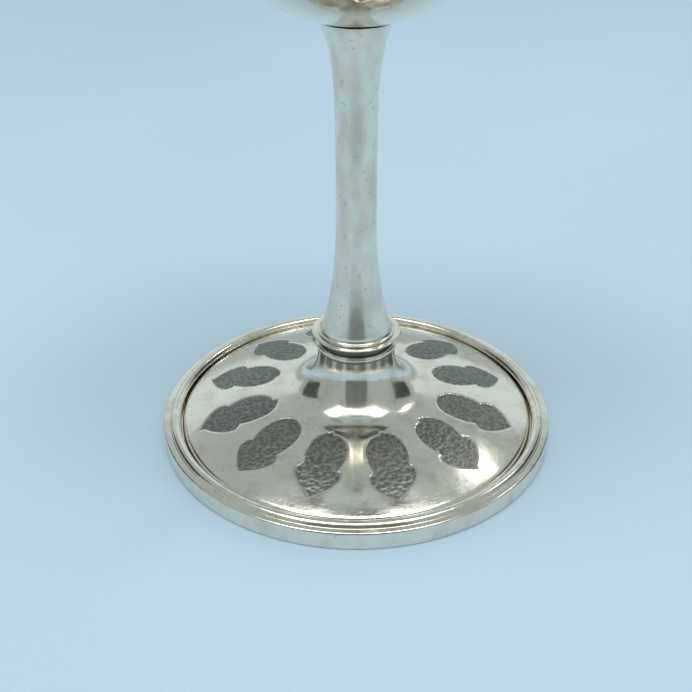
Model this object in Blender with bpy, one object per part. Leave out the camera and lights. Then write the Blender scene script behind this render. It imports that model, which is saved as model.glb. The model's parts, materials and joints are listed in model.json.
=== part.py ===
"""A silver ciborium: a stemmed, covered cup held together by a tie rod inside its stem.

The vessel stands on Z = 0 with its axis on Z. Turned pieces are drawn as a closed outline of
(radius, height) points and revolved. Everything that lifts off with the lid hangs from one empty.
"""

from math import acos, asin, atan2, cos, degrees, pi, radians, sin, sqrt

import bmesh
import bpy
from mathutils import Vector

MM = 0.001
GAP = 0.3 * MM  # between pieces that touch or are soldered
WALL = 1.0 * MM  # sheet of the foot, the bowl and the lid

LARGE_SEGMENTS = 40
SMALL_SEGMENTS = 24

# Foot: a rim band with a round moulding inside its top edge, round a dome that sweeps up to a neck.
FOOT_RADIUS = 38.0 * MM
BAND_HEIGHT = 3.5 * MM
BAND_ROUND = 0.4 * MM
MOULDING_RADIUS = 1.05 * MM
MOULDING_PLACE = 35.7 * MM  # its middle's distance from the axis
MOULDING_HEIGHT = 3.2 * MM  # of its middle
RIM_LEDGE_WIDTH = 5.4 * MM  # what the shell's edge stands on, measured from the outside
RIM_LEDGE_HEIGHT = 1.2 * MM
DOME_CURVE = 80.0 * MM  # radius of the dome's arc
DOME_CREST = 5.0 * MM  # where that arc would be level
DOME_TOP = 8.8 * MM  # its height there
DOME_ROUND = 1.2 * MM  # at the dome's outer edge
NECK_RADIUS = 7.4 * MM
NECK_FILLET = 8.5 * MM
NECK_TOP = 17.6 * MM

# Bead and flanged collar between the neck and the stem.
BEAD_RADIUS = 7.75 * MM
BEAD_HEIGHT = 1.4 * MM
COLLAR_FOOT_RADIUS = 6.9 * MM
COLLAR_FOOT_HEIGHT = 0.4 * MM  # upright part under the flange's flare
FLANGE_RADIUS = 8.4 * MM
FLANGE_EDGE = 0.3 * MM
FLANGE_TOP = 21.3 * MM
SPIGOT_RADIUS = 5.9 * MM
SPIGOT_DEPTH = 3.5 * MM  # below the foot of the collar, inside the neck
PILOT_RADIUS = 5.0 * MM
PILOT_HEIGHT = 1.5 * MM  # above the flange, inside the stem

# Stem: a hollow tube with a waist and two flares.
STEM_WALL = 0.9 * MM
STEM_FILLET = 0.8 * MM  # radius of the small fillet that spreads onto the flange
STEM_FOOT_RADIUS = 6.5 * MM  # just above the fillet
STEM_WAIST_RADIUS = 3.65 * MM
STEM_TOP_RADIUS = 6.25 * MM
STEM_LOWER_FLARE = 27.0 * MM  # height over which the foot flare dies away
STEM_UPPER_FLARE = 46.0 * MM
LOWER_FLARE_POWER = 2.8
UPPER_FLARE_POWER = 9.0

# Bowl: the lower half of a sphere with a short upright wall.
BOWL_RADIUS = 29.3 * MM
BOWL_CENTRE = 108.1 * MM
BOWL_LIP = 117.0 * MM
BOWL_FLARE = 0.3 * MM
LIP_WIRE_WIDTH = 1.2 * MM
LIP_WIRE_HEIGHT = 2.0 * MM

# Tie rod and what it is drawn up with.
ROD_RADIUS = 1.5 * MM
ROD_BORE = 1.85 * MM
ROD_BOTTOM = 10.4 * MM
BOSS_HEIGHT = 6.5 * MM
BOSS_RADIUS = 2.7 * MM
BOSS_FLANGE_RADIUS = 4.0 * MM
BOSS_FLANGE_HEIGHT = 0.8 * MM
WASHER_RADIUS = 5.2 * MM
WASHER_HEIGHT = 1.0 * MM
NUT_RADIUS = 4.0 * MM
NUT_HEIGHT = 2.5 * MM

# Lid: a flange on the lip, a bezel inside the bowl and a dome with a short neck.
LID_RIM_RADIUS = 31.3 * MM
LID_RIM_WIDTH = 4.8 * MM
LID_RIM_HEIGHT = 1.8 * MM
LID_RADIUS = 29.2 * MM
LID_CURVE = 33.0 * MM
LID_EDGE = 0.8 * MM
LID_NECK_RADIUS = 5.0 * MM
LID_NECK_HEIGHT = 2.6 * MM
LID_FILLET = 3.5 * MM
BEZEL_RADIUS = 27.9 * MM
BEZEL_WALL = 0.9 * MM
BEZEL_DEPTH = 4.5 * MM

# Finial: a stepped collar, a knop and a cross on one stud.
STUD_RADIUS = 1.0 * MM
STUD_BORE = 1.35 * MM
COLLAR_RADIUS = 6.4 * MM
COLLAR_STEP_RADIUS = 4.3 * MM
COLLAR_HEIGHT = 1.8 * MM
KNOP_RADIUS = 6.8 * MM
KNOP_HEIGHT = 11.0 * MM
KNOP_END_RADIUS = 3.3 * MM
CROSS_HEIGHT = 27.0 * MM
CROSS_SPAN = 19.0 * MM
CROSS_ARM_WIDTH = 3.0 * MM
CROSS_END_WIDTH = 5.0 * MM
CROSS_THICKNESS = 2.6 * MM
CROSS_BEVEL = 0.45 * MM
CROSS_FOOT_RADIUS = 3.2 * MM
CROSS_FOOT_TOP_RADIUS = 1.8 * MM
CROSS_FOOT_EDGE = 0.9 * MM
CROSS_FOOT_HEIGHT = 4.4 * MM
CROSS_TANG = 0.9 * MM  # how far the flat cross goes into its foot
STUD_HOLE_DEPTH = 2.7 * MM
STUD_TAIL = 0.8 * MM  # below the nut
SMALL_WASHER_RADIUS = 3.4 * MM
SMALL_WASHER_HEIGHT = 0.8 * MM
SMALL_NUT_RADIUS = 2.7 * MM
SMALL_NUT_HEIGHT = 1.8 * MM

# Heights that follow from the sizes above.
COLLAR_BOTTOM = NECK_TOP + GAP + BEAD_HEIGHT + GAP
STEM_BOTTOM = FLANGE_TOP + GAP
FLARE_BOTTOM = STEM_BOTTOM + STEM_FILLET
STEM_TOP = BOWL_CENTRE - sqrt(BOWL_RADIUS**2 - STEM_TOP_RADIUS**2) - GAP
STEM_TOP_BORE = STEM_TOP_RADIUS - 1.2 * STEM_WALL  # the flare's wall is wider measured level
BOSS_TOP = BOWL_CENTRE - BOWL_RADIUS - GAP
LID_SEAT = BOWL_LIP + GAP
LID_BOTTOM = LID_SEAT + LID_RIM_HEIGHT + GAP
LID_CENTRE = LID_BOTTOM + LID_EDGE - sqrt(LID_CURVE**2 - LID_RADIUS**2)
LID_TOP = LID_CENTRE + LID_CURVE + LID_NECK_HEIGHT
COLLAR_SEAT = LID_TOP + GAP
KNOP_SEAT = COLLAR_SEAT + COLLAR_HEIGHT + GAP
CROSS_SEAT = KNOP_SEAT + KNOP_HEIGHT + GAP


# Outlines


def arc(centre, radius, start, end, steps):
    """Points (r, z) on an arc. Angles are in degrees, from +r towards +z."""
    angles = [radians(start + (end - start) * i / steps) for i in range(steps + 1)]
    return [(centre[0] + radius * cos(a), centre[1] + radius * sin(a)) for a in angles]


def inner_side(points, wall):
    """The same line moved a wall's thickness to the left of its direction of travel."""
    moved = []
    for i, point in enumerate(points):
        here = Vector(point)
        before, after = points[max(i - 1, 0)], points[min(i + 1, len(points) - 1)]
        ways = [here - Vector(before), Vector(after) - here]
        sides = [Vector((-way.y, way.x)).normalized() for way in ways if way.length > 0]
        normal = sum(sides, Vector((0, 0))).normalized()
        moved.append(tuple(here + normal * wall / normal.dot(sides[0])))
    return moved


def bored(radius, bottom, top, bore):
    """A plain washer or tube."""
    return [(bore, bottom), (radius, bottom), (radius, top), (bore, top)]


def foot_line():
    """The foot's upper side, from the edge inside the rim's moulding up to the neck's top.

    A small round, the dome's arc and the neck's fillet meet without a break in direction.
    """
    edge = MOULDING_PLACE - MOULDING_RADIUS - GAP
    round_r, fillet_r = edge - DOME_ROUND, NECK_RADIUS + NECK_FILLET
    centre_z = DOME_TOP - DOME_CURVE
    round_angle = acos((round_r - DOME_CREST) / (DOME_CURVE - DOME_ROUND))
    fillet_angle = acos((fillet_r - DOME_CREST) / (DOME_CURVE + NECK_FILLET))
    round_z = centre_z + (DOME_CURVE - DOME_ROUND) * sin(round_angle)
    fillet_z = centre_z + (DOME_CURVE + NECK_FILLET) * sin(fillet_angle)
    outer, inner = degrees(round_angle), degrees(fillet_angle)
    line = [(edge, RIM_LEDGE_HEIGHT + GAP)]
    line += arc((round_r, round_z), DOME_ROUND, 0, outer, 3)
    line += arc((DOME_CREST, centre_z), DOME_CURVE, outer, inner, 4)[1:]
    line += arc((fillet_r, fillet_z), NECK_FILLET, 180 + inner, 180, 6)[1:]
    line.append((NECK_RADIUS, NECK_TOP))
    return line


def stem_radius(height):
    """Outer radius of the stem above its fillet: a waist with a flare at each end."""
    down = max(0, 1 - (height - FLARE_BOTTOM) / STEM_LOWER_FLARE)
    up = max(0, 1 - (STEM_TOP - height) / STEM_UPPER_FLARE)
    foot_flare = (STEM_FOOT_RADIUS - STEM_WAIST_RADIUS) * down**LOWER_FLARE_POWER
    top_flare = (STEM_TOP_RADIUS - STEM_WAIST_RADIUS) * up**UPPER_FLARE_POWER
    return STEM_WAIST_RADIUS + foot_flare + top_flare


def stem_line():
    """The stem's outer side above its fillet, with points drawn together in the flares."""
    steps = 14
    span = STEM_TOP - FLARE_BOTTOM
    heights = [FLARE_BOTTOM + span * (1 - cos(pi * i / steps)) / 2 for i in range(steps + 1)]
    return [(stem_radius(height), height) for height in heights]


def bowl_line():
    """The bowl's outer side, from the lip down to the axis."""
    lip = (BOWL_RADIUS + BOWL_FLARE, BOWL_LIP)
    return [lip] + arc((0, BOWL_CENTRE), BOWL_RADIUS, 0, -90, 10)


def lid_line():
    """The lid's outer side, from its lower edge up to the small neck."""
    fillet_r = LID_NECK_RADIUS + LID_FILLET
    fillet_angle = acos(fillet_r / (LID_CURVE + LID_FILLET))
    fillet_z = LID_CENTRE + (LID_CURVE + LID_FILLET) * sin(fillet_angle)
    edge_angle = acos(LID_RADIUS / LID_CURVE)
    outer, inner = degrees(edge_angle), degrees(fillet_angle)
    line = [(LID_RADIUS, LID_BOTTOM)]
    line += arc((0, LID_CENTRE), LID_CURVE, outer, inner, 7)
    line += arc((fillet_r, fillet_z), LID_FILLET, 180 + inner, 180, 4)[1:]
    line.append((LID_NECK_RADIUS, LID_TOP))
    return line


def knop_line():
    """A flattened ball with narrow ends, bottom to top."""
    middle = KNOP_SEAT + KNOP_HEIGHT / 2
    end_angle = atan2(sqrt(KNOP_RADIUS**2 - KNOP_END_RADIUS**2), KNOP_END_RADIUS)
    squash = KNOP_HEIGHT / 2 / (KNOP_RADIUS * sin(end_angle))
    ball = arc((0, 0), KNOP_RADIUS, -degrees(end_angle), degrees(end_angle), 8)
    return [(r, middle + z * squash) for r, z in ball]


# Blender objects


def clear_scene():
    for obj in list(bpy.data.objects):
        bpy.data.objects.remove(obj)


def metal(name, colour, roughness):
    material = bpy.data.materials.new(name)
    material.use_nodes = True
    shader = material.node_tree.nodes["Principled BSDF"]
    shader.inputs["Base Color"].default_value = (*colour, 1)
    shader.inputs["Metallic"].default_value = 1
    shader.inputs["Roughness"].default_value = roughness
    return material


def add_object(name, bm, material, parent=None):
    """Turns a bmesh in world coordinates into a smooth-shaded object under its parent."""
    if parent:
        bmesh.ops.translate(bm, vec=-parent.location, verts=bm.verts)
    mesh = bpy.data.meshes.new(name)
    bmesh.ops.recalc_face_normals(bm, faces=bm.faces)
    bm.to_mesh(mesh)
    bm.free()
    mesh.materials.append(material)
    mesh.shade_smooth()
    mesh.set_sharp_from_angle(angle=radians(35))
    obj = bpy.data.objects.new(name, mesh)
    obj.parent = parent
    bpy.context.scene.collection.objects.link(obj)
    return obj


def revolve(outline, segments):
    """A bmesh of the closed outline turned about Z. Points at r = 0 become one vertex."""
    bm = bmesh.new()
    turns = [2 * pi * i / segments for i in range(segments)]
    rings = []
    for r, z in outline:
        if r < 1e-6:
            rings.append([bm.verts.new((0, 0, z))] * segments)
        else:
            rings.append([bm.verts.new((r * cos(a), r * sin(a), z)) for a in turns])
    for ring, following in zip(rings, rings[1:] + rings[:1]):
        for i in range(segments):
            j = (i + 1) % segments
            corners = list(dict.fromkeys((ring[i], ring[j], following[j], following[i])))
            if len(corners) > 2:
                bm.faces.new(corners)
    return bm


def turned(name, outline, material, segments=SMALL_SEGMENTS, parent=None):
    return add_object(name, revolve(outline, segments), material, parent)


# Foot


def foot_rim(material):
    """Upright band, a flat top and a half-round moulding, with a ledge for the shell's edge."""
    outer, ledge = FOOT_RADIUS, FOOT_RADIUS - RIM_LEDGE_WIDTH
    inner = MOULDING_PLACE - MOULDING_RADIUS
    meeting = degrees(asin((BAND_HEIGHT - MOULDING_HEIGHT) / MOULDING_RADIUS))
    outline = [(ledge, 0), (outer, 0)]
    outline += arc((outer - BAND_ROUND, BAND_HEIGHT - BAND_ROUND), BAND_ROUND, 0, 90, 2)
    outline += arc((MOULDING_PLACE, MOULDING_HEIGHT), MOULDING_RADIUS, meeting, 180, 6)
    outline += [(inner, RIM_LEDGE_HEIGHT), (ledge, RIM_LEDGE_HEIGHT)]
    turned("foot_rim", outline, material, LARGE_SEGMENTS)


def foot_shell(material):
    line = foot_line()
    inner = inner_side(line, WALL)
    inner[-1] = (inner[-1][0], NECK_TOP)
    turned("foot_shell", line + inner[::-1], material, LARGE_SEGMENTS)


def neck_bead(material):
    bottom, top = NECK_TOP + GAP, NECK_TOP + GAP + BEAD_HEIGHT
    bore = SPIGOT_RADIUS + GAP
    half = BEAD_HEIGHT / 2
    outline = [(bore, bottom)]
    outline += arc((BEAD_RADIUS - half, bottom + half), half, -90, 90, 4) + [(bore, top)]
    turned("neck_bead", outline, material)


def stem_collar(material):
    """A cup-shaped seat: spigot into the neck, thin flange under the stem, pilot inside it."""
    outline = [
        (ROD_BORE, COLLAR_BOTTOM - SPIGOT_DEPTH),
        (SPIGOT_RADIUS, COLLAR_BOTTOM - SPIGOT_DEPTH),
        (SPIGOT_RADIUS, COLLAR_BOTTOM),
        (COLLAR_FOOT_RADIUS, COLLAR_BOTTOM),
        (COLLAR_FOOT_RADIUS, COLLAR_BOTTOM + COLLAR_FOOT_HEIGHT),
        (FLANGE_RADIUS, FLANGE_TOP - FLANGE_EDGE),
        (FLANGE_RADIUS, FLANGE_TOP),
        (PILOT_RADIUS, FLANGE_TOP),
        (PILOT_RADIUS, FLANGE_TOP + PILOT_HEIGHT),
        (ROD_BORE, FLANGE_TOP + PILOT_HEIGHT),
    ]
    turned("stem_collar", outline, material)


# Stem and tie rod


def stem(material):
    """The hollow tube. Its upper end follows the round of the bowl."""
    line = stem_line()
    fillet_centre = (STEM_FOOT_RADIUS + STEM_FILLET, FLARE_BOTTOM)
    fillet = arc(fillet_centre, STEM_FILLET, 270, 180, 3)[:-1]
    inner = inner_side(line, STEM_WALL)
    bore_top = BOWL_CENTRE - sqrt(BOWL_RADIUS**2 - STEM_TOP_BORE**2) - GAP
    inner[0] = (inner[0][0], STEM_BOTTOM)
    inner[-1] = (STEM_TOP_BORE, bore_top)
    turned("stem", fillet + line + inner[::-1], material)


def bowl_boss(material):
    """Socket under the bowl, hidden in the stem's upper flare. The tie rod screws into it."""
    flange_z = BOSS_TOP - BOSS_FLANGE_HEIGHT
    outline = [
        (ROD_BORE, BOSS_TOP - BOSS_HEIGHT),
        (BOSS_RADIUS, BOSS_TOP - BOSS_HEIGHT),
        (BOSS_RADIUS, flange_z),
        (BOSS_FLANGE_RADIUS, flange_z),
        (BOSS_FLANGE_RADIUS, BOSS_TOP),
        (ROD_BORE, BOSS_TOP),
    ]
    turned("bowl_boss", outline, material)


def rod(name, radius, bottom, top, material, parent=None):
    """A round bar with a small chamfer at each end."""
    chamfer = radius / 4
    outline = [
        (0, bottom),
        (radius - chamfer, bottom),
        (radius, bottom + chamfer),
        (radius, top - chamfer),
        (radius - chamfer, top),
        (0, top),
    ]
    turned(name, outline, material, SMALL_SEGMENTS // 2, parent)


def hexagon_nut(name, radius, bore, bottom, height, material, parent=None):
    """A six-sided ring. Its hexagonal bore clears the round rod."""
    outline = bored(radius, bottom, bottom + height, bore / cos(pi / 6))
    turned(name, outline, material, 6, parent)


def tie_fixings(material):
    rod("tie_rod", ROD_RADIUS, ROD_BOTTOM, BOSS_TOP - BOSS_FLANGE_HEIGHT, material)
    washer_top = COLLAR_BOTTOM - SPIGOT_DEPTH - GAP
    washer_bottom = washer_top - WASHER_HEIGHT
    turned("tie_washer", bored(WASHER_RADIUS, washer_bottom, washer_top, ROD_BORE), material)
    nut_bottom = washer_bottom - GAP - NUT_HEIGHT
    hexagon_nut("tie_nut", NUT_RADIUS, ROD_BORE, nut_bottom, NUT_HEIGHT, material)


# Bowl


def bowl(material):
    line = bowl_line()
    inner = [(r - WALL, z) for r, z in line[:1]]
    inner += arc((0, BOWL_CENTRE), BOWL_RADIUS - WALL, 0, -90, 10)
    turned("bowl", line + inner[::-1], material, LARGE_SEGMENTS)


def bowl_rim(material):
    """Half-oval wire soldered round the outside of the lip."""
    inner = BOWL_RADIUS + BOWL_FLARE + GAP
    half = LIP_WIRE_HEIGHT / 2
    oval = arc((0, 0), 1, -90, 90, 5)
    outline = [(inner + x * LIP_WIRE_WIDTH, BOWL_LIP - half + y * half) for x, y in oval]
    turned("bowl_rim", outline, material, LARGE_SEGMENTS)


# Lid


def lid_lift():
    """The empty that everything on the lid hangs from, on the axis at the lid's seat."""
    empty = bpy.data.objects.new("lid_lift", None)
    empty.location = (0, 0, LID_SEAT)
    bpy.context.scene.collection.objects.link(empty)
    return empty


def lid_rim(material, lid):
    """Moulded flange that rests on the lip: a rounded edge, then a small step."""
    half = LID_RIM_HEIGHT / 2
    outline = [(LID_RIM_RADIUS - LID_RIM_WIDTH, LID_SEAT)]
    outline += arc((LID_RIM_RADIUS - half, LID_SEAT + half), half, -90, 90, 5)
    outline.append((LID_RIM_RADIUS - LID_RIM_WIDTH, LID_SEAT + LID_RIM_HEIGHT))
    turned("lid_rim", outline, material, LARGE_SEGMENTS, lid)


def lid_bezel(material, lid):
    top = LID_SEAT - GAP
    outline = bored(BEZEL_RADIUS, top - BEZEL_DEPTH, top, BEZEL_RADIUS - BEZEL_WALL)
    turned("lid_bezel", outline, material, LARGE_SEGMENTS, lid)


def lid_shell(material, lid):
    """Spun dome with a small closed neck, bored for the finial's stud."""
    line = lid_line()
    inner = inner_side(line, WALL)
    inner[-1] = (inner[-1][0], LID_TOP - WALL)
    outline = line + [(STUD_BORE, LID_TOP), (STUD_BORE, LID_TOP - WALL)] + inner[::-1]
    turned("lid_shell", outline, material, LARGE_SEGMENTS, lid)


def finial_collar(material, lid):
    """A rounded disc and a smaller step under the knop."""
    half = COLLAR_HEIGHT / 4
    outline = [(STUD_BORE, COLLAR_SEAT)]
    outline += arc((COLLAR_RADIUS - half, COLLAR_SEAT + half), half, -90, 90, 4)
    outline += [
        (COLLAR_STEP_RADIUS, COLLAR_SEAT + COLLAR_HEIGHT / 2),
        (COLLAR_STEP_RADIUS, COLLAR_SEAT + COLLAR_HEIGHT),
        (STUD_BORE, COLLAR_SEAT + COLLAR_HEIGHT),
    ]
    turned("finial_collar", outline, material, parent=lid)


def knop(material, lid):
    line = knop_line()
    outline = [(STUD_BORE, KNOP_SEAT)] + line + [(STUD_BORE, KNOP_SEAT + KNOP_HEIGHT)]
    turned("knop", outline, material, parent=lid)


def cross_outline():
    """Right half of a Latin cross with flared ends, as (x, z) from its tang up to its head."""
    arm, end, reach = CROSS_ARM_WIDTH / 2, CROSS_END_WIDTH / 2, CROSS_SPAN / 2
    head = CROSS_SEAT + CROSS_HEIGHT
    beam = head - reach
    return [
        (arm, CROSS_SEAT + CROSS_FOOT_HEIGHT - CROSS_TANG),
        (arm, beam - arm),
        (reach, beam - end),
        (reach, beam + end),
        (arm, beam + arm),
        (end, head),
    ]


def cross(material, lid):
    """Flat cross with bevelled edges, joined to its bored conical foot."""
    half = cross_outline()
    outline = half + [(-x, z) for x, z in half[::-1]]
    bm = bmesh.new()
    front = bm.faces.new([bm.verts.new((x, -CROSS_THICKNESS / 2, z)) for x, z in outline])
    back = bmesh.ops.extrude_face_region(bm, geom=[front])["geom"]
    moved = [part for part in back if isinstance(part, bmesh.types.BMVert)]
    bmesh.ops.translate(bm, vec=(0, CROSS_THICKNESS, 0), verts=moved)
    flat = add_object("cross", bm, material, lid)
    bevel = flat.modifiers.new("bevel", "BEVEL")
    bevel.width = CROSS_BEVEL
    bevel.segments = 1
    bevel.limit_method = "ANGLE"
    bevel.angle_limit = radians(60)
    join = flat.modifiers.new("join", "BOOLEAN")
    join.operation = "UNION"
    join.object = cross_foot(material, lid)


def cross_foot(material, lid):
    """The cone under the cross, with the blind hole that the stud screws into."""
    top = CROSS_SEAT + CROSS_FOOT_HEIGHT
    hole_top = CROSS_SEAT + STUD_HOLE_DEPTH
    outline = [
        (STUD_BORE, CROSS_SEAT),
        (CROSS_FOOT_RADIUS, CROSS_SEAT),
        (CROSS_FOOT_RADIUS, CROSS_SEAT + CROSS_FOOT_EDGE),
        (CROSS_FOOT_TOP_RADIUS, top),
        (0, top),
        (0, hole_top),
        (STUD_BORE, hole_top),
    ]
    foot = turned("cross_foot_helper", outline, material, parent=lid)
    foot.hide_render = True
    foot.display_type = "WIRE"
    return foot


def finial_fixings(material, lid):
    washer_top = LID_TOP - WALL - GAP
    washer_bottom = washer_top - SMALL_WASHER_HEIGHT
    washer = bored(SMALL_WASHER_RADIUS, washer_bottom, washer_top, STUD_BORE)
    turned("finial_washer", washer, material, parent=lid)
    nut_bottom = washer_bottom - GAP - SMALL_NUT_HEIGHT
    nut_sizes = (SMALL_NUT_RADIUS, STUD_BORE, nut_bottom, SMALL_NUT_HEIGHT)
    hexagon_nut("finial_nut", *nut_sizes, material, lid)
    stud_top = CROSS_SEAT + STUD_HOLE_DEPTH - GAP
    rod("finial_stud", STUD_RADIUS, nut_bottom - STUD_TAIL, stud_top, material, lid)


def build():
    clear_scene()
    silver = metal("silver", (0.60, 0.62, 0.60), 0.18)
    brass = metal("brass", (0.60, 0.47, 0.24), 0.35)
    foot_rim(silver)
    foot_shell(silver)
    neck_bead(silver)
    stem_collar(silver)
    stem(silver)
    bowl_boss(brass)
    tie_fixings(brass)
    bowl(silver)
    bowl_rim(silver)
    lid = lid_lift()
    bpy.context.view_layer.update()
    lid_rim(silver, lid)
    lid_bezel(silver, lid)
    lid_shell(silver, lid)
    finial_collar(silver, lid)
    knop(silver, lid)
    cross(silver, lid)
    finial_fixings(brass, lid)


build()
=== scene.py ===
"""The looks of a small silver ciborium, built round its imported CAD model.

Every piece of the CAD model is replaced by a finer one of the same shape and size: turned pieces
get hundreds of columns, the foot, the bowl and the lid get their chased leaves, and the rod and the
stud get threads. A turned piece is a list of rings, which follow its closed (radius, height) outline
with the outside on the right. Lengths are in metres and turns in radians, with the front of the
vessel towards -Y.
"""

import json
from math import acos, asin, atan2, cos, degrees, pi, radians, sin, sqrt

import bmesh
import bpy
import numpy as np
from mathutils import Matrix, Vector

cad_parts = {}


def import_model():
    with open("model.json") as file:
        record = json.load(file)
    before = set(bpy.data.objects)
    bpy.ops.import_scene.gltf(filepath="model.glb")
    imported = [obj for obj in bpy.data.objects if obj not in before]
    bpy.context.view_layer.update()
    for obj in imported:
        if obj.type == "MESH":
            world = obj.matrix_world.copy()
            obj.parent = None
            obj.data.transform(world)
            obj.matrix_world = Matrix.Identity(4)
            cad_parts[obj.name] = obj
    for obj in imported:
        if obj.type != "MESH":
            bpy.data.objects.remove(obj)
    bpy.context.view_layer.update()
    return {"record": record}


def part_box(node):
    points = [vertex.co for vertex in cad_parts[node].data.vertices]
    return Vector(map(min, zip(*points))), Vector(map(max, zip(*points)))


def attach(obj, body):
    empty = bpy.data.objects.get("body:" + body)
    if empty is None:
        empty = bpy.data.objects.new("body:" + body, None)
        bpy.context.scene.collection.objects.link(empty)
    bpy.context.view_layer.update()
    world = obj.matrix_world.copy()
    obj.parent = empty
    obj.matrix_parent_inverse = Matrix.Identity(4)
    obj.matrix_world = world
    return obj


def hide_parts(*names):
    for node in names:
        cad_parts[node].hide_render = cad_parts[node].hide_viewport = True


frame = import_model()

MM = 0.001
SEED = 7

# Sizes of the CAD model that its nodes' boxes don't give.
WALL = 1.0 * MM
GAP = 0.3 * MM
BAND_HEIGHT = 3.5 * MM
BAND_ROUND = 0.4 * MM
MOULDING_RADIUS = 1.05 * MM
MOULDING_PLACE = 35.7 * MM
RIM_LEDGE_WIDTH = 5.4 * MM
RIM_LEDGE_HEIGHT = 1.2 * MM
DOME_CURVE = 80.0 * MM
DOME_CREST = 5.0 * MM
DOME_TOP = 8.8 * MM
DOME_ROUND = 1.2 * MM
NECK_RADIUS = 7.4 * MM
NECK_FILLET = 8.5 * MM
SPIGOT_RADIUS = 5.9 * MM
SPIGOT_DEPTH = 3.5 * MM
COLLAR_FOOT_RADIUS = 6.9 * MM
COLLAR_FOOT_HEIGHT = 0.4 * MM
FLANGE_EDGE = 0.3 * MM
PILOT_RADIUS = 5.0 * MM
PILOT_HEIGHT = 1.5 * MM
STEM_WALL = 0.9 * MM
STEM_FILLET = 0.8 * MM
STEM_FOOT_RADIUS = 6.5 * MM
STEM_WAIST_RADIUS = 3.65 * MM
STEM_TOP_RADIUS = 6.25 * MM
STEM_LOWER_FLARE = 27.0 * MM
STEM_UPPER_FLARE = 46.0 * MM
LOWER_FLARE_POWER = 2.8
UPPER_FLARE_POWER = 9.0
BOWL_RADIUS = 29.3 * MM
ROD_BORE = 1.85 * MM
BOSS_RADIUS = 2.7 * MM
BOSS_FLANGE_HEIGHT = 0.8 * MM
LID_RIM_WIDTH = 4.8 * MM
LID_CURVE = 33.0 * MM
LID_EDGE = 0.8 * MM
LID_NECK_RADIUS = 5.0 * MM
LID_FILLET = 3.5 * MM
BEZEL_WALL = 0.9 * MM
STUD_BORE = 1.35 * MM
COLLAR_STEP_RADIUS = 4.3 * MM
KNOP_END_RADIUS = 3.3 * MM
CROSS_ARM_WIDTH = 3.0 * MM
CROSS_END_WIDTH = 5.0 * MM
CROSS_THICKNESS = 2.6 * MM
CROSS_BEVEL = 0.45 * MM
CROSS_FOOT_RADIUS = 3.2 * MM
CROSS_FOOT_TOP_RADIUS = 1.8 * MM
CROSS_FOOT_EDGE = 0.9 * MM
CROSS_FOOT_HEIGHT = 4.4 * MM
CROSS_TANG = 0.9 * MM
STUD_HOLE_DEPTH = 2.7 * MM

SEAM = 0.26 * MM  # how far a soldered piece reaches across the CAD's gap to its neighbour
SMALL_ROUND = 0.2 * MM  # of a turned edge that would be sharp
SHARP_ANGLE = 35  # degrees between faces from which an edge is drawn sharp

# Columns of the turned pieces, which are the same all round
RIM_COLUMNS = 480
LIP_COLUMNS = 360
BEZEL_COLUMNS = 300
NECK_COLUMNS = 240
FINIAL_COLUMNS = 200
STEM_COLUMNS = 160
NUT_COLUMNS = 144
WASHER_COLUMNS = 120
BOSS_COLUMNS = 96
THREAD_COLUMNS = 32

# Chased leaves: shallow sunk shapes, matted with a round punch and darkened.
LEAF_COUNT = 12
LEAF_RECESS = 0.05 * MM
LEAF_EDGE = 0.5 * MM
CHASED_LINE_DEPTH = 0.02 * MM
CHASED_LINE_WIDTH = 0.25 * MM
LEAF_SINK = 0.03 * MM  # the broad hollow round a leaf
PUNCH_PITCH = 0.75 * MM
PUNCH_RADIUS = 0.55 * MM
PUNCH_DEPTH = 0.08 * MM
FOOT_LEAF_ZONE = (31.6 * MM, 15.8 * MM)  # outer and inner radius
LID_LEAF_ZONE = (27.3 * MM, 9.3 * MM)
BOWL_LEAF_ZONE = (-49.0, -2.0)  # degrees below the bowl's middle
ZONE_MARGIN = 0.5 * MM  # from the zone's ends to the leaves' ends
FOOT_LEAF_WIDTH = 1.04  # over the width that leaf_half_width gives
LID_LEAF_WIDTH = 0.84
BOWL_LEAF_WIDTH = 0.86
FOOT_LEAF_SPREAD = radians(12.5)  # half of the turn that has close columns
LID_LEAF_SPREAD = radians(12.5)
BOWL_LEAF_SPREAD = radians(11.5)

# Studio
CAMERA_FRONT = 169.8 * MM
CAMERA_HEIGHT = 120.8 * MM
CAMERA_LEFT = 1.95 * MM
CAMERA_PITCH = radians(31.33)
CAMERA_ROLL = radians(-0.25)
CAMERA_LENS = 53.7
CAMERA_SENSOR = 36.0


# Rings


class Ring:
    """The vertices of one ring: their turns, radii and heights, and how much is leaf and pit."""

    def __init__(self, radius, height, turns):
        self.turns = turns
        self.radius = np.full(len(turns), radius)
        self.height = np.full(len(turns), height)
        self.leaf = np.zeros(len(turns))
        self.pit = np.zeros(len(turns))

    def points(self):
        return np.column_stack(
            (self.radius * np.cos(self.turns), self.radius * np.sin(self.turns), self.height)
        )


def even_turns(count):
    return np.arange(count) * 2 * pi / count


def make_rings(outline, turns):
    """One ring for each outline point. A point on the axis becomes a single vertex."""
    return [Ring(r, z, turns if r > 1e-6 else turns[:1]) for r, z in outline]


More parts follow.
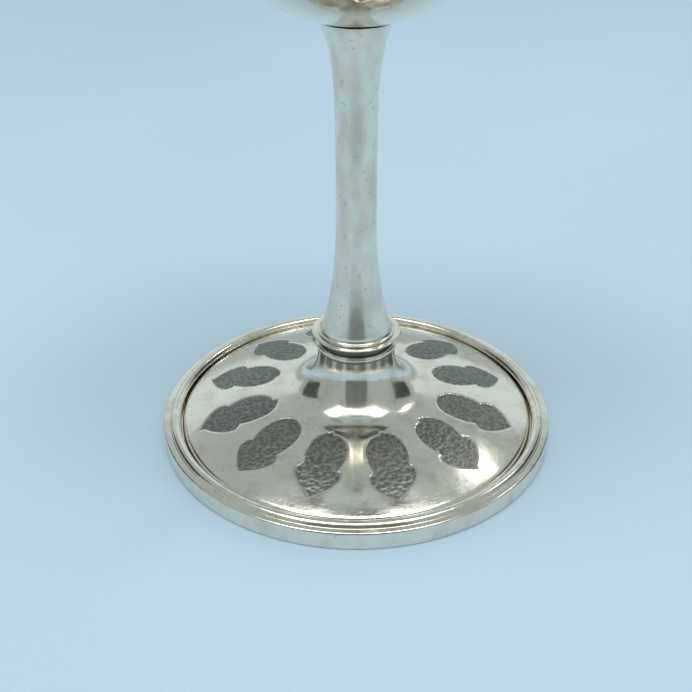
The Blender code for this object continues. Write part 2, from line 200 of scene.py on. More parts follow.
def stitch(first, first_count, second, second_count):
    """Faces between two rings that start at these vertices: equal, one twice the other, or a pole."""
    a = first + np.arange(first_count + 1) % first_count
    b = second + np.arange(second_count + 1) % second_count
    if first_count == second_count:
        return np.column_stack((a[:-1], a[1:], b[1:], b[:-1])).tolist()
    if first_count == 1:
        return [(first, b[j + 1], b[j]) for j in range(second_count)]
    if second_count == 1:
        return [(a[j], a[j + 1], second) for j in range(first_count)]
    faces = []
    for j in range(min(first_count, second_count)):
        k = 2 * j
        if first_count > second_count:
            faces += [(a[k], a[k + 1], b[j]), (a[k + 1], b[j + 1], b[j])]
            faces += [(a[k + 1], a[k + 2], b[j + 1])]
        else:
            faces += [(a[j], b[k + 1], b[k]), (a[j], a[j + 1], b[k + 1])]
            faces += [(a[j + 1], b[k + 2], b[k + 1])]
    return faces


def ring_mesh(name, rings, sharp=SHARP_ANGLE):
    """A closed object through the rings, which carries their leaf and pit values as attributes."""
    starts = np.cumsum([0] + [len(ring.turns) for ring in rings])
    faces = []
    for i, ring in enumerate(rings):
        j = (i + 1) % len(rings)
        faces += stitch(starts[i], len(ring.turns), starts[j], len(rings[j].turns))
    mesh = bpy.data.meshes.new(name)
    mesh.from_pydata(np.concatenate([ring.points() for ring in rings]), [], faces)
    for key in ("leaf", "pit"):
        values = np.concatenate([getattr(ring, key) for ring in rings])
        attribute = mesh.attributes.new(key, "FLOAT", "POINT")
        attribute.data.foreach_set("value", values.astype(np.float32))
    mesh.shade_smooth()
    mesh.set_sharp_from_angle(angle=radians(sharp))
    obj = bpy.data.objects.new(name, mesh)
    bpy.context.scene.collection.objects.link(obj)
    return obj


# Outlines


def arc(centre, radius, start, end, steps):
    """Points (r, z) on an arc. Angles are in degrees, from +r towards +z."""
    angles = [radians(start + (end - start) * i / steps) for i in range(steps + 1)]
    return [(centre[0] + radius * cos(a), centre[1] + radius * sin(a)) for a in angles]


def between(first, last, steps):
    """Points on a straight line, without its two ends."""
    shares = [i / steps for i in range(1, steps)]
    return [tuple(a + (b - a) * share for a, b in zip(first, last)) for share in shares]


def line_normals(line):
    """Unit normals of a line of points, to the right of its direction of travel."""
    ways = np.gradient(np.array(line), axis=0)
    sides = np.column_stack((ways[:, 1], -ways[:, 0]))
    return sides / np.linalg.norm(sides, axis=1)[:, None]


def inner_side(line, wall):
    """The same line moved a wall's thickness to its left, and turned back to front."""
    moved = np.array(line) - line_normals(line) * wall
    return [tuple(point) for point in moved[::-1]]


def extent(node):
    """Radius, bottom and top of a turned CAD node."""
    low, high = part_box(node)
    return high.x, low.z, high.z


def foot_line(leaf_steps, plain_steps):
    """The foot's upper side, from its edge up to the neck's top, and its leaf zone's two ends."""
    edge, bottom, top = extent("foot_shell")
    round_r, fillet_r = edge - DOME_ROUND, NECK_RADIUS + NECK_FILLET
    centre = (DOME_CREST, DOME_TOP - DOME_CURVE)
    round_angle = acos((round_r - DOME_CREST) / (DOME_CURVE - DOME_ROUND))
    fillet_angle = acos((fillet_r - DOME_CREST) / (DOME_CURVE + NECK_FILLET))
    round_z = centre[1] + (DOME_CURVE - DOME_ROUND) * sin(round_angle)
    fillet_z = centre[1] + (DOME_CURVE + NECK_FILLET) * sin(fillet_angle)
    outer, inner = degrees(round_angle), degrees(fillet_angle)
    leaf_out, leaf_in = (degrees(acos((r - DOME_CREST) / DOME_CURVE)) for r in FOOT_LEAF_ZONE)
    line = [(edge, bottom)]
    line += arc((round_r, round_z), DOME_ROUND, 0, outer, plain_steps)
    line += arc(centre, DOME_CURVE, outer, leaf_out, plain_steps)[1:]
    start = len(line) - 1
    line += arc(centre, DOME_CURVE, leaf_out, leaf_in, leaf_steps)[1:]
    end = len(line)
    line += arc(centre, DOME_CURVE, leaf_in, inner, plain_steps // 2)[1:]
    line += arc((fillet_r, fillet_z), NECK_FILLET, 180 + inner, 180, 3 * plain_steps)[1:]
    neck_top = (NECK_RADIUS, top + SEAM)
    line += between(line[-1], neck_top, 6) + [neck_top]
    return line, start, end


def stem_radius(height, bottom, top):
    """Outer radius of the stem above its fillet: a waist with a flare at each end."""
    down = max(0, 1 - (height - bottom) / STEM_LOWER_FLARE)
    up = max(0, 1 - (top - height) / STEM_UPPER_FLARE)
    foot_flare = (STEM_FOOT_RADIUS - STEM_WAIST_RADIUS) * down**LOWER_FLARE_POWER
    top_flare = (STEM_TOP_RADIUS - STEM_WAIST_RADIUS) * up**UPPER_FLARE_POWER
    return STEM_WAIST_RADIUS + foot_flare + top_flare


def bowl_centre():
    return extent("bowl")[1] + BOWL_RADIUS


def lid_line(leaf_steps, plain_steps):
    """The lid's outer side, from its lower edge up to its neck, and its leaf zone's two ends."""
    radius, bottom, top = extent("lid_shell")
    centre_z = bottom + LID_EDGE - sqrt(LID_CURVE**2 - radius**2)
    fillet_r = LID_NECK_RADIUS + LID_FILLET
    fillet_angle = acos(fillet_r / (LID_CURVE + LID_FILLET))
    fillet_z = centre_z + (LID_CURVE + LID_FILLET) * sin(fillet_angle)
    outer, inner = degrees(acos(radius / LID_CURVE)), degrees(fillet_angle)
    leaf_out, leaf_in = (degrees(acos(r / LID_CURVE)) for r in LID_LEAF_ZONE)
    line = [(radius, bottom - SEAM)]
    line += arc((0, centre_z), LID_CURVE, outer, leaf_out, plain_steps)
    start = len(line) - 1
    line += arc((0, centre_z), LID_CURVE, leaf_out, leaf_in, leaf_steps)[1:]
    end = len(line)
    line += arc((0, centre_z), LID_CURVE, leaf_in, inner, plain_steps // 2)[1:]
    line += arc((fillet_r, fillet_z), LID_FILLET, 180 + inner, 180, plain_steps)[1:]
    line.append((LID_NECK_RADIUS, top))
    return line, start, end


# Chased leaves


class Leaf:
    """One leaf of a ring of leaves, in its own plane: along it from its root, and across it."""

    def __init__(self, turn, length, width, rng):
        self.turn = turn + radians(rng.uniform(-1, 1))
        self.length = length * rng.uniform(0.96, 1.0)
        self.width = width * rng.uniform(0.95, 1.05, 2)  # on its two sides
        self.notch = rng.uniform(-0.03, 0.03, 2)
        self.lean = rng.uniform(-0.06, 0.06) * length  # of the tip, to one side
        self.marks, self.sizes = self.punch_marks(rng)

    def punch_marks(self, rng):
        """Places of the punch blows, on a jumbled grid, and their sizes."""
        reach = np.arange(-self.length / 2, self.length / 2, PUNCH_PITCH)
        along, across = np.meshgrid(np.arange(0, self.length, PUNCH_PITCH), reach)
        marks = np.column_stack((along.ravel(), across.ravel()))
        marks += rng.uniform(-0.42, 0.42, marks.shape) * PUNCH_PITCH
        near = self.inside(marks[:, 0], marks[:, 1]) > -PUNCH_RADIUS
        return marks[near], rng.uniform(0.65, 1.1, near.sum())

    def centre_line(self, along):
        return self.lean * (np.clip(along / self.length, 0, 1)) ** 2

    def inside(self, along, across):
        """How far inside the leaf's edge a point is, measured across the leaf."""
        side = across - self.centre_line(along)
        right = (side > 0).astype(int)
        half = leaf_half_width(along / self.length + self.notch[right]) * self.length
        return half * self.width[right] - np.abs(side)

    def depth(self, along, across):
        """How far the surface is sunk, and the leaf and pit values, at points in the leaf's plane."""
        inside = self.inside(along, across)
        leaf = smooth(inside / LEAF_EDGE + 0.5)
        line = np.exp(-((inside / CHASED_LINE_WIDTH) ** 2)) * leaf_ends(along / self.length)
        middle = (along / self.length - 0.52) / 0.62
        broad = (across - self.centre_line(along)) / (0.4 * self.length)
        sink = smooth(1.35 - np.hypot(middle, broad))
        pit = self.pits(along, across) * leaf
        depth = LEAF_RECESS * leaf + CHASED_LINE_DEPTH * line + LEAF_SINK * sink + PUNCH_DEPTH * pit
        return depth, leaf, pit

    def pits(self, along, across):
        """How deep the nearest punch mark is at each point, from 0 to about 1."""
        steps_along = along[:, None] - self.marks[None, :, 0]
        steps_across = across[:, None] - self.marks[None, :, 1]
        reach = np.hypot(steps_along, steps_across) / (PUNCH_RADIUS * self.sizes)
        return (np.clip(1 - reach**2, 0, 1) ** 1.5 * self.sizes).max(axis=1)


def smooth(x):
    x = np.clip(x, 0, 1)
    return x * x * (3 - 2 * x)


def leaf_half_width(share):
    """Half the leaf's width over its length: a round-ended blade, then a notch and a pointed spade."""
    blade = 0.25 * np.sqrt(np.clip(1 - ((share - 0.37) / 0.37) ** 2, 0, 1))
    rise = np.sqrt(np.clip(1 - ((0.68 - share) / 0.17) ** 2, 0, 1))
    fall = 1 - np.clip((share - 0.68) / 0.32, 0, 1) ** 1.8
    spade = 0.28 * np.where(share < 0.68, rise, fall)
    return np.where((share < 0) | (share > 1), -0.05, np.maximum(blade, spade))


def leaf_ends(share):
    """1 along the leaf, falling to 0 just past its two ends."""
    return smooth(share * 20 + 1) * smooth((1 - share) * 20 + 1)


def leaf_turns(first, dense, sparse, spread):
    """Column turns for a ring of leaves: close together over each leaf, wider between the leaves."""
    sector = 2 * pi / LEAF_COUNT
    close = np.linspace(-spread, spread, dense, endpoint=False)
    wide = np.linspace(spread, sector - spread, sparse, endpoint=False)
    return np.concatenate([first + i * sector + np.append(close, wide) for i in range(LEAF_COUNT)])


def chase_leaves(rings, line, first_turn, width, rng):
    """Sinks a ring of leaves into these rings, with their roots at the last ring."""
    distance = np.append(0, np.cumsum(np.linalg.norm(np.diff(np.array(line), axis=0), axis=1)))
    normals = line_normals(line)
    length = distance[-1] - 2 * ZONE_MARGIN
    sector = 2 * pi / LEAF_COUNT
    leaves = [Leaf(first_turn + i * sector, length, width, rng) for i in range(LEAF_COUNT)]
    for ring, travelled, normal in zip(rings, distance, normals):
        from_root = distance[-1] - travelled
        radius = ring.radius[0]
        for leaf in leaves:
            turn = (ring.turns - leaf.turn + pi) % (2 * pi) - pi
            near = np.abs(turn) < 0.55 * sector
            along = np.full(near.sum(), from_root - ZONE_MARGIN)
            depth, is_leaf, pit = leaf.depth(along, turn[near] * radius)
            ring.radius[near] -= normal[0] * depth
            ring.height[near] -= normal[1] * depth
            ring.leaf[near] = np.maximum(ring.leaf[near], is_leaf)
            ring.pit[near] = np.maximum(ring.pit[near], pit)


# Pieces


def node_body(node):
    bodies = frame["record"]["behaviour"]["bodies"]
    return next(body for body, nodes in bodies.items() if node in nodes)


def put_on(obj, node, material):
    """Makes this piece stand for a CAD node, with its body."""
    obj.data.materials.append(material)
    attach(obj, node_body(node))
    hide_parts(node)
    return obj


def turned(node, outline, material, columns):
    """A piece that is the same all round, in place of its CAD node."""
    rings = make_rings(outline, even_turns(columns))
    return put_on(ring_mesh(node + "_fine", rings), node, material)


def foot_rim(material):
    """An upright band, a flat top and a half-round moulding, with a ledge inside."""
    outer, bottom, top = extent("foot_rim")
    ledge, inner = outer - RIM_LEDGE_WIDTH, MOULDING_PLACE - MOULDING_RADIUS
    middle = top - MOULDING_RADIUS
    meeting = degrees(asin((BAND_HEIGHT - middle) / MOULDING_RADIUS))
    corner = (outer - SMALL_ROUND, bottom + SMALL_ROUND)
    outline = [(ledge, bottom), (corner[0], bottom)]
    outline += arc(corner, SMALL_ROUND, -90, 0, 4)[1:]
    outline += between(outline[-1], (outer, BAND_HEIGHT - BAND_ROUND), 6)
    outline += arc((outer - BAND_ROUND, BAND_HEIGHT - BAND_ROUND), BAND_ROUND, 0, 90, 8)
    outline += arc((MOULDING_PLACE, middle), MOULDING_RADIUS, meeting, 180, 26)
    outline += [(inner, bottom + RIM_LEDGE_HEIGHT), (ledge, bottom + RIM_LEDGE_HEIGHT)]
    turned("foot_rim", outline, material, RIM_COLUMNS)


def foot_shell(material, rng):
    """The spun foot, with a ring of leaves that has a gap at the front."""
    line, start, end = foot_line(84, 6)
    under, _, _ = foot_line(8, 4)
    first_turn = -pi / 2 + pi / LEAF_COUNT
    turns = leaf_turns(first_turn, 54, 8, FOOT_LEAF_SPREAD)
    rings = make_rings(line, turns[::2])
    rings[start:end] = make_rings(line[start:end], turns)
    chase_leaves(rings[start:end], line[start:end], first_turn, FOOT_LEAF_WIDTH, rng)
    rings += make_rings(inner_side(under, WALL), turns[::2])
    put_on(ring_mesh("foot_shell_fine", rings), "foot_shell", material)


def neck_bead(material):
    radius, bottom, top = extent("neck_bead")
    half = (top - bottom) / 2
    bore = SPIGOT_RADIUS + GAP
    outline = [(bore, bottom)] + arc((radius - half, bottom + half), half, -90, 90, 20)
    outline.append((bore, top))
    turned("neck_bead", outline, material, NECK_COLUMNS)


def stem_collar(material):
    """The cup with a thin flange that the stem stands on. Its undercut is painted dark as painted
    shade, in the leaves' matted colour.
    """
    radius, bottom, top = extent("stem_collar")
    foot_z, flange_z = bottom + SPIGOT_DEPTH - SEAM, top - PILOT_HEIGHT
    flare_z = foot_z + SEAM + COLLAR_FOOT_HEIGHT
    corner = FLANGE_EDGE / 2
    outline = [(ROD_BORE, bottom), (SPIGOT_RADIUS, bottom), (SPIGOT_RADIUS, foot_z)]
    outline += [(COLLAR_FOOT_RADIUS, foot_z), (COLLAR_FOOT_RADIUS, flare_z)]
    outline += between(outline[-1], (radius - corner, flange_z - FLANGE_EDGE), 6)
    outline += arc((radius - corner, flange_z - corner), corner, -90, 90, 8)
    outline += [(PILOT_RADIUS, flange_z), (PILOT_RADIUS, top), (ROD_BORE, top)]
    rings = make_rings(outline, even_turns(NECK_COLUMNS))
    for ring in rings:
        painted_shade_undercut = foot_z <= ring.height[0] < flange_z - FLANGE_EDGE
        if painted_shade_undercut and ring.radius[0] >= COLLAR_FOOT_RADIUS:
            ring.leaf[:] = ring.pit[:] = 1  # painted shade: the undercut takes the leaves' dark matted colour
    put_on(ring_mesh("stem_collar_fine", rings, 30), "stem_collar", material)


def stem(material):
    """The hollow waisted tube. Its upper end follows the round of the bowl."""
    seat = extent("stem")[1] - SEAM
    bottom = seat + SEAM + STEM_FILLET
    sphere, centre = BOWL_RADIUS, bowl_centre()
    top = centre - sqrt(sphere**2 - STEM_TOP_RADIUS**2) - GAP
    heights = [bottom + (top - bottom) * i / 150 for i in range(151)]
    line = [(stem_radius(z, bottom, top), z) for z in heights]
    bore = STEM_TOP_RADIUS - 1.2 * STEM_WALL
    inner = inner_side(line[::6], STEM_WALL)
    inner[0] = (bore, centre - sqrt(sphere**2 - bore**2) - GAP)
    inner[-1] = (inner[-1][0], seat)
    fillet = arc((STEM_FOOT_RADIUS + STEM_FILLET, bottom), STEM_FILLET, 270, 180, 12)[:-1]
    foot = (fillet[0][0], seat)
    turned("stem", [foot] + fillet + line + inner, material, STEM_COLUMNS)


def bowl(silver, gilt, rng):
    """Half a sphere with a short wall, gilt inside. Its leaves point down, with one at the front."""
    radius, _, lip = extent("bowl")
    centre = bowl_centre()
    low, high = BOWL_LEAF_ZONE
    sphere = (0, centre)
    line = arc(sphere, BOWL_RADIUS, -90, low, 20)
    start = len(line) - 1
    line += arc(sphere, BOWL_RADIUS, low, high, 96)[1:]
    end = len(line)
    line += arc(sphere, BOWL_RADIUS, high, 0, 3)[1:]
    line += between(line[-1], (radius, lip), 5) + [(radius, lip)]
    turns = leaf_turns(-pi / 2, 50, 10, BOWL_LEAF_SPREAD)
    rings = make_rings(line, turns[::2])
    rings[start:end] = make_rings(line[start:end], turns)
    chase_leaves(rings[start:end], line[start:end], -pi / 2, BOWL_LEAF_WIDTH, rng)
    outside = len(rings)
    inner = [(radius - WALL, lip)] + arc(sphere, BOWL_RADIUS - WALL, 0, -90, 30)
    rings += make_rings(inner, turns[::2])
    obj = put_on(ring_mesh("bowl_fine", rings), "bowl", silver)
    obj.data.materials.append(gilt)
    mark_inside(obj, sum(len(ring.turns) for ring in rings[:outside]))


def mark_inside(obj, first_inner_vertex):
    """Gives the second material to the faces whose corners are all on the inner side."""
    mesh = obj.data
    for face in mesh.polygons:
        face.material_index = int(min(face.vertices) >= first_inner_vertex)


def bowl_rim(material):
    """Half-oval wire round the lip."""
    outer, bottom, top = extent("bowl_rim")
    inner = extent("bowl")[0] + GAP - SEAM
    half = (top - bottom) / 2
    oval = arc((0, 0), 1, -90, 90, 20)
    outline = [(inner + x * (outer - inner), top - half + y * half) for x, y in oval]
    turned("bowl_rim", outline, material, LIP_COLUMNS)


def lid_rim(material):
    """Moulded flange that rests on the lip."""
    radius, bottom, top = extent("lid_rim")
    half = (top - bottom) / 2
    inner = radius - LID_RIM_WIDTH
    outline = [(inner, bottom)] + arc((radius - half, bottom + half), half, -90, 90, 20)
    outline += [(inner, top)]
    turned("lid_rim", outline, material, LIP_COLUMNS)


def lid_bezel(material):
    radius, bottom, top = extent("lid_bezel")
    bore, corner = radius - BEZEL_WALL, SMALL_ROUND
    outline = [(bore, bottom), (radius - corner, bottom)]
    outline += arc((radius - corner, bottom + corner), corner, -90, 0, 4)[1:]
    outline += [(radius, top), (bore, top)]
    turned("lid_bezel", outline, material, BEZEL_COLUMNS)


def lid_shell(material, rng):
    """The domed lid, with a ring of leaves that point outwards, one at the front like the bowl's."""
    line, start, end = lid_line(96, 8)
    under, _, _ = lid_line(14, 6)
    top = line[-1][1]
    turns = leaf_turns(-pi / 2, 46, 6, LID_LEAF_SPREAD)
    rings = make_rings(line, turns[::2])
    rings[start:end] = make_rings(line[start:end], turns)
    chase_leaves(rings[start:end], line[start:end], -pi / 2, LID_LEAF_WIDTH, rng)
    inner = inner_side(under, WALL)
    inner[0] = (inner[0][0], top - WALL)
    rings += make_rings([(STUD_BORE, top), (STUD_BORE, top - WALL)] + inner, turns[::2])
    put_on(ring_mesh("lid_shell_fine", rings), "lid_shell", material)


def finial_collar(material):
    radius, bottom, top = extent("finial_collar")
    quarter = (top - bottom) / 4
    outline = [(STUD_BORE, bottom - SEAM), (LID_NECK_RADIUS, bottom - SEAM)]
    outline.append((LID_NECK_RADIUS, bottom))
    outline += arc((radius - quarter, bottom + quarter), quarter, -90, 90, 16)
    outline.append((COLLAR_STEP_RADIUS, bottom + 2 * quarter))
    corner = (COLLAR_STEP_RADIUS - SMALL_ROUND, top - SMALL_ROUND)
    outline += arc(corner, SMALL_ROUND, 0, 90, 4)
    outline.append((STUD_BORE, top))
    turned("finial_collar", outline, material, FINIAL_COLUMNS)


def knop(material):
    """A flattened ball with narrow ends."""
    radius, bottom, top = extent("knop")
    end_angle = atan2(sqrt(radius**2 - KNOP_END_RADIUS**2), KNOP_END_RADIUS)
    squash = (top - bottom) / 2 / (radius * sin(end_angle))
    ball = arc((0, 0), radius, -degrees(end_angle), degrees(end_angle), 60)
    line = [(r, (bottom + top) / 2 + z * squash) for r, z in ball]
    ends = [(STUD_BORE, bottom - SEAM), (KNOP_END_RADIUS, bottom - SEAM)], [(STUD_BORE, top)]
    turned("knop", ends[0] + line + ends[1], material, FINIAL_COLUMNS)


def cross_outline(seat, head, span):
    """Right half of a Latin cross with flared ends, as (x, z) from its tang up to its head."""
    arm, end, reach = CROSS_ARM_WIDTH / 2, CROSS_END_WIDTH / 2, span / 2
    beam = head - reach
    return [
        (arm, seat + CROSS_FOOT_HEIGHT - CROSS_TANG),
        (arm, beam - arm),
        (reach, beam - end),
        (reach, beam + end),
        (arm, beam + arm),
        (end, head),
    ]


def cross(material):
    """Flat cross with rounded edges and an engraved border, joined to its bored conical foot."""
    low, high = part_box("cross")
    half = cross_outline(low.z, high.z, high.x - low.x)
    outline = half + [(-x, z) for x, z in half[::-1]]
    bm = bmesh.new()
    front = bm.faces.new([bm.verts.new((x, -CROSS_THICKNESS / 2, z)) for x, z in outline])
    back = bmesh.ops.extrude_face_region(bm, geom=[front])["geom"]
    moved = [part for part in back if isinstance(part, bmesh.types.BMVert)]
    bmesh.ops.translate(bm, vec=(0, CROSS_THICKNESS, 0), verts=moved)
    bmesh.ops.recalc_face_normals(bm, faces=bm.faces)
    bmesh.ops.bevel(bm, geom=bm.edges, offset=CROSS_BEVEL, segments=4, profile=0.5, affect="EDGES")
    for face in [face for face in bm.faces if abs(face.normal.y) > 0.99 and len(face.verts) > 8]:
        engrave_border(bm, face)
    mesh = bpy.data.meshes.new("cross_fine")
    bm.to_mesh(mesh)
    bm.free()
    mesh.shade_smooth()
    mesh.set_sharp_from_angle(angle=radians(SHARP_ANGLE))
    obj = bpy.data.objects.new("cross_fine", mesh)
    bpy.context.scene.collection.objects.link(obj)
    join = obj.modifiers.new("join", "BOOLEAN")
    join.operation = "UNION"
    join.object = cross_foot(low.z)
    put_on(obj, "cross", material)
    apply_modifiers(obj, join.object)


def engrave_border(bm, face):
    """A fine line cut along the edge of a flat face: down one side of the cut, then up the other."""
    from_edge, half_width, cut = 0.35 * MM, 0.12 * MM, 0.1 * MM
    for inset, depth in ((from_edge, 0), (half_width, -cut), (half_width, cut)):
        bmesh.ops.inset_region(bm, faces=[face], thickness=inset, depth=depth, use_even_offset=True)


def cross_foot(seat):
    """The cone under the cross, with the blind hole for the stud. It is only a shape to join."""
    top, hole_top = seat + CROSS_FOOT_HEIGHT, seat + STUD_HOLE_DEPTH
    outline = [(STUD_BORE, seat - SEAM), (CROSS_FOOT_RADIUS, seat - SEAM)]
    outline += [(CROSS_FOOT_RADIUS, seat + CROSS_FOOT_EDGE), (CROSS_FOOT_TOP_RADIUS, top)]
    outline += [(0, top), (0, hole_top), (STUD_BORE, hole_top)]
    return ring_mesh("cross_foot_shape", make_rings(outline, even_turns(96)))


def apply_modifiers(obj, helper):
    """Keeps the evaluated mesh, then removes the helper object that shaped it."""
    graph = bpy.context.evaluated_depsgraph_get()
    mesh = bpy.data.meshes.new_from_object(obj.evaluated_get(graph))
    obj.modifiers.clear()
    obj.data = mesh
    bpy.data.objects.remove(helper)


# Fixings

THREAD_DEPTH = 0.55  # of the pitch
ROD_PITCH = 0.5 * MM
STUD_PITCH = 0.4 * MM
THREAD_PAST = 2 * MM  # how far the rod's threads run past the washer and the boss
NUT_BEVEL = 0.3 * MM  # at both ends of a nut's bore


def cut_thread(rings, lowest, highest, pitch):
    """Cuts a screw thread into the rings between two heights. It runs out at both ends."""
    depth = THREAD_DEPTH * pitch
    for ring in rings:
        height = ring.height
        fade = smooth((height - lowest) / pitch) * smooth((highest - height) / pitch)
        phase = (height / pitch - ring.turns / (2 * pi)) % 1
        ring.radius -= depth * fade * np.abs(2 * phase - 1)


def threaded_rod(node, threads, pitch, material):
    """A round bar with screw threads over these stretches of height."""
    radius, bottom, top = extent(node)
    chamfer = radius / 4
    per_pitch = 8
    rises = [bottom + chamfer]
    while rises[-1] < top - chamfer:
        close = any(low - pitch < rises[-1] < high + pitch for low, high in threads)
        rises.append(rises[-1] + (pitch / per_pitch if close else 4 * pitch))
    rises[-1] = top - chamfer
    wall = make_rings([(radius, z) for z in rises], even_turns(THREAD_COLUMNS))
    for low, high in threads:
        cut_thread(wall, low, high, pitch)
    foot = make_rings([(0, bottom), (radius - chamfer, bottom)], even_turns(THREAD_COLUMNS))
    head = make_rings([(radius - chamfer, top), (0, top)], even_turns(THREAD_COLUMNS))
    put_on(ring_mesh(node + "_fine", foot + wall + head, 60), node, material)


def hexagon_nut(node, bore, material):
    """A six-sided nut with its corners turned off at both ends and a countersunk bore."""
    low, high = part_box(node)
    corner, bottom, top = high.x, low.z, high.z
    flat = corner * cos(pi / 6)
    chamfer = (corner - flat) * 0.6
    steps = 16
    wall = [(corner, bottom + (top - bottom) * i / steps) for i in range(steps + 1)]
    outline = [(bore, bottom + NUT_BEVEL), (bore + NUT_BEVEL, bottom)] + wall
    outline += [(bore + NUT_BEVEL, top), (bore, top - NUT_BEVEL)]
    rings = make_rings(outline, even_turns(NUT_COLUMNS))
    for ring in rings[2:-2]:
        side = flat / np.cos((ring.turns + pi / 6) % (pi / 3) - pi / 6)
        from_end = min(ring.height[0] - bottom, top - ring.height[0])
        turned_off = corner - max(chamfer - from_end, 0) * 1.7
        ring.radius = np.minimum(side, turned_off)
    put_on(ring_mesh(node + "_fine", rings, 25), node, material)


def washer(node, bore, material):
    radius, bottom, top = extent(node)
    corner = (top - bottom) / 4
    outline = [(bore, bottom)] + arc((radius - corner, bottom + corner), corner, -90, 0, 4)
    outline += arc((radius - corner, top - corner), corner, 0, 90, 4) + [(bore, top)]
    turned(node, outline, material, WASHER_COLUMNS)


def bowl_boss(material):
    radius, bottom, top = extent("bowl_boss")
    flange_z = top - BOSS_FLANGE_HEIGHT
    outline = [(ROD_BORE, bottom), (BOSS_RADIUS, bottom), (BOSS_RADIUS, flange_z)]
    outline += [(radius, flange_z), (radius, top), (ROD_BORE, top)]
    turned("bowl_boss", outline, material, BOSS_COLUMNS)


def fixings(brass):
    """The tie rod inside the stem and the stud inside the finial, with what they are drawn up with."""
    _, rod_bottom, rod_top = extent("tie_rod")
    washer_top = extent("tie_washer")[2]
    boss_bottom = extent("bowl_boss")[1]
    lower_thread = (rod_bottom + ROD_PITCH, washer_top + THREAD_PAST)
    upper_thread = (boss_bottom - THREAD_PAST, rod_top - ROD_PITCH)
    threaded_rod("tie_rod", [lower_thread, upper_thread], ROD_PITCH, brass)
    _, stud_bottom, stud_top = extent("finial_stud")
    stud_thread = (stud_bottom + STUD_PITCH, stud_top - STUD_PITCH)
    threaded_rod("finial_stud", [stud_thread], STUD_PITCH, brass)
    hexagon_nut("tie_nut", ROD_BORE, brass)
    hexagon_nut("finial_nut", STUD_BORE, brass)
    washer("tie_washer", ROD_BORE, brass)
    washer("finial_washer", STUD_BORE, brass)
    bowl_boss(brass)


# Materials


class Shading:
    """Short calls for the nodes of one material. Patterns are in metres, in the vessel's own frame."""

    def __init__(self, name):
        self.material = bpy.data.materials.new(name)
        self.material.use_nodes = True
        self.tree = self.material.node_tree
        self.shader = self.tree.nodes["Principled BSDF"]
        self.place = self.tree.nodes.new("ShaderNodeTexCoord").outputs["Object"]

    def add(self, kind, **settings):
        node = self.tree.nodes.new("ShaderNode" + kind)
        for key, value in settings.items():
            setattr(node, key, value)
        return node

    def feed(self, socket, value):
        """Links a socket to another, or sets its value."""
        if isinstance(value, bpy.types.NodeSocket):
            self.tree.links.new(value, socket)
        else:
            socket.default_value = value

    def set(self, name, value):
        self.feed(self.shader.inputs[name], value)

    def math(self, operation, first, second):
        node = self.add("Math", operation=operation)
        self.feed(node.inputs[0], first)
        self.feed(node.inputs[1], second)
        return node.outputs[0]

    def stretched(self, scale, turn=(0, 0, 0)):
        node = self.add("Mapping")
        self.feed(node.inputs["Vector"], self.place)
        node.inputs["Scale"].default_value = scale
        node.inputs["Rotation"].default_value = turn
        return node.outputs["Vector"]

    def noise(self, size, detail=4.0, place=None, roughness=0.5):
        """Noise whose features are about this size, from 0 to 1 with most of it near 0.5."""
        node = self.add("TexNoise")
        self.feed(node.inputs["Vector"], place or self.place)
        node.inputs["Scale"].default_value = 1 / size
        node.inputs["Detail"].default_value = detail
        node.inputs["Roughness"].default_value = roughness
        return node.outputs["Fac"]

    def ramp(self, value, low, high, to_low=0.0, to_high=1.0):
        """value, taken smoothly from the range low..high to the range to_low..to_high."""
        node = self.add("MapRange", interpolation_type="SMOOTHSTEP")
        for socket, number in zip(node.inputs, (value, low, high, to_low, to_high)):
            self.feed(socket, number)
        return node.outputs["Result"]

    def mix(self, share, first, second):
        """One colour turning into another as share goes from 0 to 1."""
        node = self.add("Mix", data_type="RGBA")
        self.feed(node.inputs[0], share)
        for socket, colour in zip(node.inputs[6:8], (first, second)):
            linked = isinstance(colour, bpy.types.NodeSocket)
            self.feed(socket, colour if linked else (*colour, 1))
        return node.outputs[2]

    def attribute(self, name):
        return self.add("Attribute", attribute_name=name).outputs["Fac"]

    def bump(self, height, depth, below=None):
        """A normal for a height from 0 to 1 that stands for a depth in metres."""
        node = self.add("Bump")
        node.inputs["Distance"].default_value = depth
        self.feed(node.inputs["Height"], height)
        if below:
            self.feed(node.inputs["Normal"], below)
        return node.outputs["Normal"]

    def scratches(self, length, width, turns):
        """Fine straight scratches in several directions, as a height that is 1 in a scratch."""
        total = None
        for turn in turns:
            place = self.stretched((1 / length, 1 / width, 1 / width), turn)
            streak = self.ramp(self.noise(1.0, 1.0, place), 0.66, 0.74)
            total = streak if total is None else self.math("MAXIMUM", total, streak)
        return total


CLEAN_SILVER = (0.85, 0.81, 0.72)
TARNISHED_SILVER = (0.66, 0.60, 0.47)
SPOT_COLOUR = (0.30, 0.27, 0.20)
OXIDE_COLOUR = (0.18, 0.18, 0.16)
RIDGE_COLOUR = (0.27, 0.27, 0.24)
GILT_COLOUR = (0.93, 0.72, 0.38)
WORN_GILT_COLOUR = (0.85, 0.74, 0.52)
BRASS_COLOUR = (0.71, 0.55, 0.29)
DULL_BRASS_COLOUR = (0.42, 0.31, 0.16)
SCRATCH_TURNS = [(0.3, 0.5, 0.2), (1.1, 0.2, 1.4), (0.7, 1.3, 2.5), (0.1, 0.9, 3.6)]


